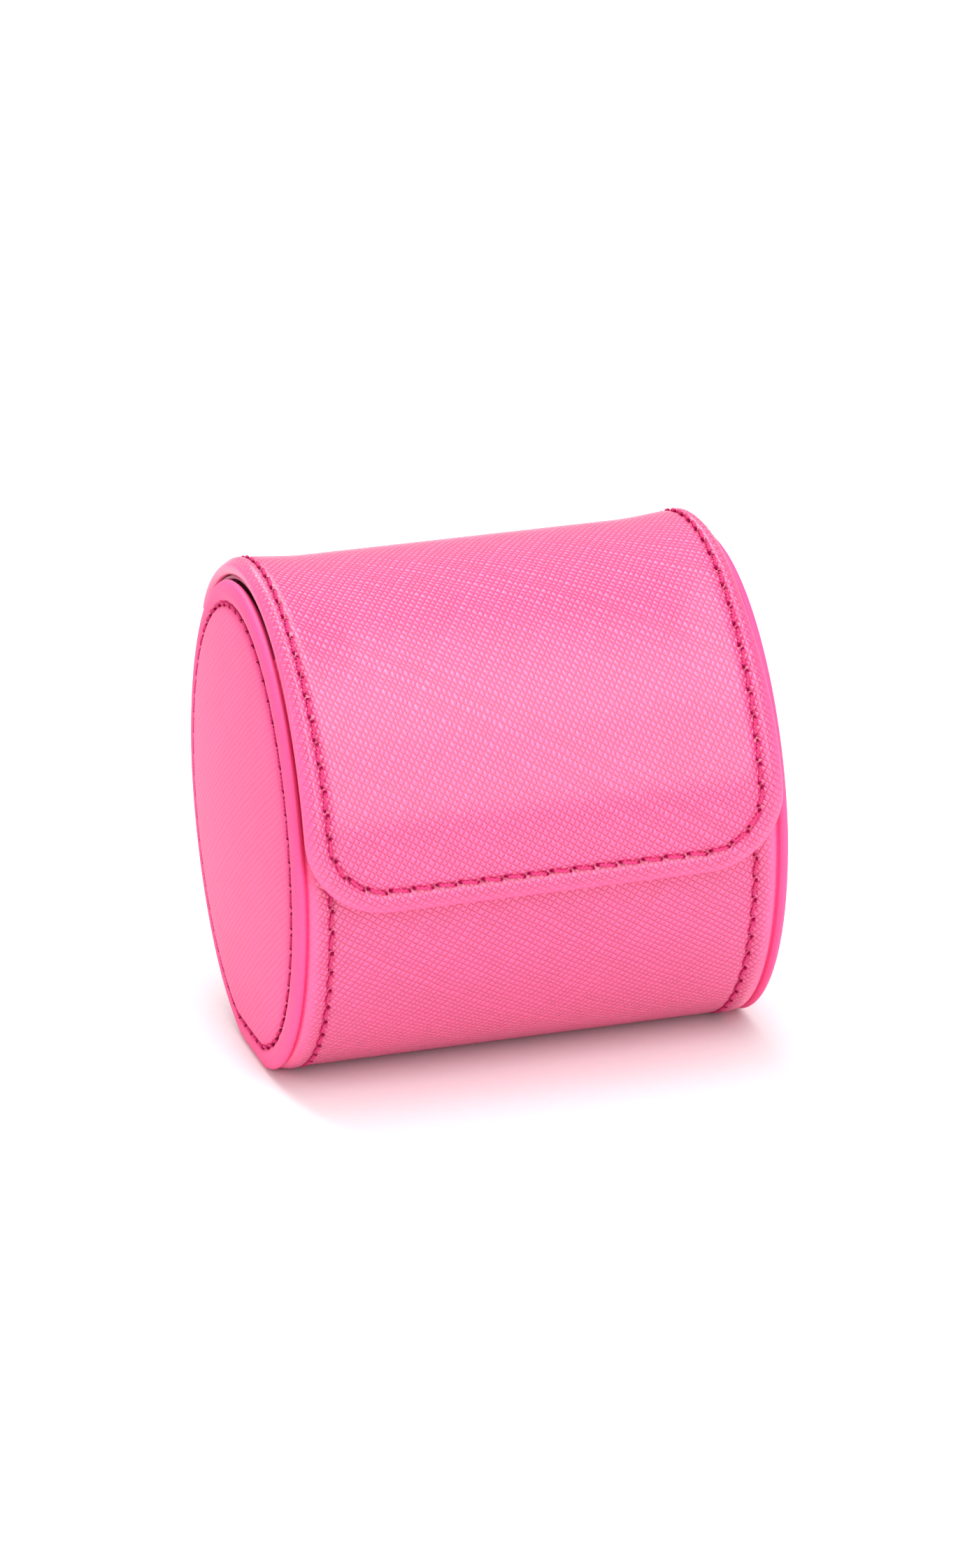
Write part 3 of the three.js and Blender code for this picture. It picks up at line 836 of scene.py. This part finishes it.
def stitches(line, normals):
    """Twisted two-ply stitches along a line on the leather, each diving into a needle hole at
    both ends. Returns points, faces and, for each point, the place along and round its ply and
    how far it is from the middle of the stitch to its end, 0 to 1."""
    lengths = path_lengths(line)
    count = round(lengths[-1] / STITCH_PITCH)
    pitch = lengths[-1] / count
    steps, sides, plies = 15, 6, 2
    share = np.linspace(0, 1, steps)
    reach = 0.1 * MM
    s = (np.arange(count)[:, None] * pitch + reach + share * (pitch - 2 * reach)).ravel()
    centre = np.stack([np.interp(s, lengths, line[:, k]) for k in range(3)], -1)
    up = np.stack([np.interp(s, lengths, normals[:, k]) for k in range(3)], -1)
    tangents = np.gradient(line, axis=0)
    tangent = np.stack([np.interp(s, lengths, tangents[:, k]) for k in range(3)], -1)
    tangent /= np.linalg.norm(tangent, axis=1)[:, None]
    across = np.cross(tangent, up)
    across /= np.linalg.norm(across, axis=1)[:, None]
    local = np.tile(share, count) * 2 - 1
    height = -0.3 * MM + 0.28 * MM * (1 - np.abs(local) ** 6)
    centre = centre + up * height[:, None] + across * (0.24 * MM * local)[:, None]
    points, faces, sheet = [], [], []
    ring = np.arange(sides) * 2 * math.pi / sides
    for ply in range(plies):
        twist = 2 * math.pi * s / (1.25 * MM) + ply * math.pi
        aside = across * np.cos(twist)[:, None] + up * np.sin(twist)[:, None]
        middle = centre + aside * 0.14 * MM
        radius = 0.18 * MM * (1 - 0.25 * np.abs(local) ** 8)
        out = across[:, None] * np.cos(ring)[:, None] + up[:, None] * np.sin(ring)[:, None]
        tube = middle[:, None] + out * radius[:, None, None]
        start = sum(len(p) for p in points)
        ids = start + np.arange(tube[..., 0].size).reshape(count, steps, sides)
        for one in ids:
            wrapped = np.concatenate([one, one[:, :1]], 1)
            faces += quads(wrapped).tolist()
            faces += [one[0][::-1].tolist(), one[-1].tolist()]
        points.append(tube.reshape(-1, 3))
        marks = np.broadcast_arrays(s[:, None] / MM + ply * 0.6, ring, np.abs(local)[:, None])
        sheet.append(np.stack(marks, -1).reshape(-1, 3))
    return np.concatenate(points), faces, np.concatenate(sheet)


def add_stitching(name, lines, material, body, node):
    """One piece of thread, from the stitches along one line or more."""
    points, faces, sheets, start = [], [], [], 0
    for line, normals in lines:
        line_points, line_faces, line_sheet = stitches(line, normals)
        faces += [[i + start for i in face] for face in line_faces]
        points.append(line_points)
        sheets.append(line_sheet)
        start += len(line_points)
    piece = add_mesh(name, np.concatenate(points), faces, material, np.concatenate(sheets))
    place_piece(piece, body, "stitching_thread", node)


def radial_normals(points):
    """Directions straight out from the oval section."""
    normals = np.stack([
        0 * points[:, 0],
        points[:, 1] / HALF_DEPTH**2,
        (points[:, 2] - AXIS_HEIGHT) / HALF_HEIGHT**2,
    ], -1)
    return normals / np.linalg.norm(normals, axis=1)[:, None]


def make_stitching(thread):
    plan = flap_plan(STITCH_INSET, (400, 60, 240))
    angle = np.degrees(plan[:, 1] / FLAP_RADIUS)
    line = around(plan[:, 0], angle, FLAP_RADIUS - sag(plan[:, 0], angle) - 0.06 * MM)
    under = around(plan[:, 0], angle, FLAP_UNDER + 0.12 * MM)
    normals = radial_normals(line)
    lines = [(line, normals), (under, -normals)]
    add_stitching("flap_stitching", lines, thread, "flap", "flap_thread")

    angles = np.linspace(BACK_TOP, 360 + FRONT_TOP, 900)
    round_end = np.linspace(0, 360, 900)
    out = section_path(angles, np.full(len(angles), HALF_HEIGHT))[1]
    wrap_normals = np.concatenate([np.zeros((len(angles), 1)), out], 1)
    for label, side in (("left", -1), ("right", 1)):
        line = around(side * (HALF_WRAP - STITCH_INSET), angles, HALF_HEIGHT - 0.06 * MM)
        lines = [(line, wrap_normals)]
        add_stitching("tub_stitching_" + label, lines, thread, "case", "tub_thread_" + label)
        line = around(side * (END_FACE - 0.06 * MM), round_end, HALF_HEIGHT - STITCH_INSET)
        normals = np.tile([side, 0, 0], (len(line), 1)).astype(float)
        lines = [(lean_in(line, side), normals)]
        add_stitching("end_stitching_" + label, lines, thread, "case", "end_thread_" + label)


# ---- The pillow ----

def make_pillow(fabric, cord_finish):
    """A cushion on an oval section with slightly bulging ends, and piping round both."""
    low, high = (np.array(corner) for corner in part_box("pillow_cover"))
    middle, half = (low + high) / 2, (high - low) / 2
    middle[0], half[0] = 0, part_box("pillow_end_right")[1].x
    seam_x = half[0] - 1.6 * MM
    count = 96
    turn = np.arange(count) * 2 * math.pi / count
    stations = np.linspace(-seam_x, seam_x, 60)
    crown = 0.9 + 0.075 * np.clip(1 - (stations / seam_x) ** 4, 0, None)
    rings = np.stack([
        np.broadcast_to(stations[:, None], (len(stations), count)),
        middle[1] + crown[:, None] * half[1] * np.cos(turn),
        middle[2] + crown[:, None] * half[2] * np.sin(turn),
    ], -1)
    caps = []
    for side in (-1, 1):
        shares = np.linspace(0.94, 0.08, 14)
        bulge = seam_x + 0.9 * MM * (1 - shares**2)
        caps.append(np.stack([
            np.broadcast_to((side * bulge)[:, None], (len(shares), count)),
            middle[1] + (0.9 * shares)[:, None] * half[1] * np.cos(turn),
            middle[2] + (0.9 * shares)[:, None] * half[2] * np.sin(turn),
        ], -1))
    body = np.concatenate([caps[0][::-1], rings, caps[1]])
    ids = np.arange(body[..., 0].size).reshape(-1, count)
    faces = quads(np.concatenate([ids, ids[:, :1]], 1)).tolist()
    faces += [ids[0][::-1].tolist(), ids[-1].tolist()]
    cushion = add_mesh("pillow_cushion", body.reshape(-1, 3), faces, fabric)
    inflate(cushion, seam_x, middle, half)
    settle(cushion, low[2] + 0.1 * MM)
    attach(cushion, "pillow")
    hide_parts("pillow_foam", "pillow_cover", "pillow_end_left", "pillow_end_right")
    for label, side in (("left", -1), ("right", 1)):
        add_piping("pillow_piping_" + label, side * seam_x, middle, half * 0.915, cord_finish)


def inflate(cushion, seam_x, middle, half):
    """Swells the cushion with cloth simulation between its two sewn ends, at ten times its size."""
    scale = 10
    mesh = cushion.data
    mesh.transform(Matrix.Scale(scale, 4))
    remesh = cushion.modifiers.new("remesh", "REMESH")
    remesh.mode = "VOXEL"
    remesh.voxel_size = 1.5 * MM * scale
    bake_modifiers(cushion)
    mesh = cushion.data
    start = mesh_points(mesh)
    real = start / scale
    section = (real[:, 1:] - middle[1:]) / half[1:]
    out = np.hypot(section[:, 0], section[:, 1])
    sewn = (np.abs(np.abs(real[:, 0]) - seam_x) < 1.2 * MM) & (out > 0.82)
    group = cushion.vertex_groups.new(name="sewn")
    group.add([int(i) for i in np.flatnonzero(sewn)], 1.0, "REPLACE")
    cloth = cushion.modifiers.new("cloth", "CLOTH")
    settings = cloth.settings
    settings.quality = 6
    settings.mass = 0.25
    settings.tension_stiffness = settings.compression_stiffness = 12
    settings.bending_stiffness = 0.4
    settings.use_pressure = True
    settings.uniform_pressure_force = 4
    settings.shrink_min = -0.035
    settings.vertex_group_mass = "sewn"
    settings.effector_weights.gravity = 0
    cloth.collision_settings.use_collision = False
    cloth.collision_settings.use_self_collision = False
    scene = bpy.context.scene
    for number in range(1, 21):
        scene.frame_set(number)
    moved = mesh_points(cushion.evaluated_get(bpy.context.evaluated_depsgraph_get()).data)
    cushion.modifiers.remove(cloth)
    scene.frame_set(1)
    push = (moved - start) / scale
    length = np.linalg.norm(push, axis=1)
    most = 1.3 * MM
    push *= (np.minimum(length, most) / np.maximum(length, 1e-9))[:, None]
    mesh.vertices.foreach_set("co", (real + push).astype(np.float32).ravel())
    mesh.update()
    cushion.vertex_groups.clear()


def settle(cushion, rest_height):
    """Rounds the mesh once more, rests its underside and lays the fabric's place on it."""
    subdivide = cushion.modifiers.new("rounding", "SUBSURF")
    subdivide.levels = subdivide.render_levels = 1
    bake_modifiers(cushion)
    mesh = cushion.data
    points = mesh_points(mesh)
    points[:, 2] = np.maximum(points[:, 2], rest_height)
    mesh.vertices.foreach_set("co", points.astype(np.float32).ravel())
    mesh.polygons.foreach_set("use_smooth", np.ones(len(mesh.polygons), bool))
    attribute = mesh.attributes.get("sheet") or mesh.attributes.new("sheet", "FLOAT_VECTOR", "POINT")
    attribute.data.foreach_set("vector", (points / MM).astype(np.float32).ravel())
    mesh.update()


def mesh_points(mesh):
    points = np.empty(len(mesh.vertices) * 3, np.float32)
    mesh.vertices.foreach_get("co", points)
    return points.reshape(-1, 3).astype(float)


def bake_modifiers(obj):
    """Replaces an object's mesh by what its modifiers make of it."""
    graph = bpy.context.evaluated_depsgraph_get()
    made = bpy.data.meshes.new_from_object(obj.evaluated_get(graph), depsgraph=graph)
    made.name = obj.name
    material = obj.data.materials[0]
    obj.modifiers.clear()
    obj.data = made
    made.materials.clear()
    made.materials.append(material)


def add_piping(name, x, middle, half, material):
    """A thin fabric-covered cord sewn round one end of the pillow."""
    count, sides, radius = 160, 10, 0.75 * MM
    turn = np.arange(count) * 2 * math.pi / count
    ring = np.arange(sides) * 2 * math.pi / sides
    cosine, sine = np.cos(turn), np.sin(turn)
    centre = np.stack([0 * turn + x, middle[1] + half[1] * cosine, middle[2] + half[2] * sine], -1)
    out = np.stack([0 * turn, cosine / half[1], sine / half[2]], -1)
    out /= np.linalg.norm(out, axis=1)[:, None]
    along = np.array([1.0, 0, 0])
    aside = out[:, None] * np.cos(ring)[:, None] + along * np.sin(ring)[:, None]
    tube = centre[:, None] + radius * aside
    ids = np.arange(count * sides).reshape(count, sides)
    ids = np.concatenate([ids, ids[:1]])
    faces = quads(np.concatenate([ids, ids[:, :1]], 1)).tolist()
    points = tube.reshape(-1, 3)
    piece = add_mesh(name, points, faces, material, points / MM)
    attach(piece, "pillow")


# ---- Everything together ----

def paint(material, *nodes):
    """Gives nodes that keep their CAD shape a material."""
    for node in nodes:
        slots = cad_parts[node].data.materials
        slots.clear()
        slots.append(material)


make_camera()
make_studio()

gloss = {"Roughness": 0.34, "Coat Weight": 0.5, "Coat Roughness": 0.22, "Specular IOR Level": 0.95}
soft_gloss = {"Roughness": 0.5, "Specular IOR Level": 0.5}
# The second colour of each leather is painted shade for its embossed lines and stitch channel.
leather = saffiano("saffiano_leather", srgb(252, 78, 146), srgb(196, 18, 86), gloss)
end_leather = saffiano("end_leather", srgb(248, 78, 142), srgb(236, 62, 126), soft_gloss, 0.035)
nap = {"Roughness": 0.95, "Sheen Weight": 0.5, "Sheen Roughness": 0.45, "Specular IOR Level": 0.25}
lining = suede("lining_fabric", srgb(206, 120, 152), srgb(228, 152, 180), nap)
pillow_fabric = suede("pillow_fabric", srgb(216, 132, 164), srgb(232, 158, 186), nap, 0.07)
thread = thread_finish()

make_tub(leather, lining)
make_hinge(leather, lining)
make_flap(leather, lining)
make_ends(end_leather, lining)
make_stitching(thread)
make_pillow(pillow_fabric, lining)

lengthwise = (1, 0.3, 1)
board = plain_finish(
    "stiffener_board", srgb(140, 128, 112), srgb(176, 164, 146), 900, {"Roughness": 0.95}, 0.06, lengthwise
)
foam = plain_finish(
    "padding_foam", srgb(222, 214, 196), srgb(240, 235, 222), 2400, {"Roughness": 1.0}, 0.25
)
brushed = (1, 8, 1)
polish = {"Roughness": 0.3, "Metallic": 1.0}
steel = plain_finish(
    "magnet_steel", srgb(168, 170, 174), srgb(206, 208, 212), 1500, polish, 0.01, brushed
)
paint(board, "tub_board", "flap_board", "end_board_left", "end_board_right")
paint(foam, "end_padding_left", "end_padding_right")
paint(steel, "tub_magnet_left", "tub_magnet_right", "flap_magnet_left", "flap_magnet_right")
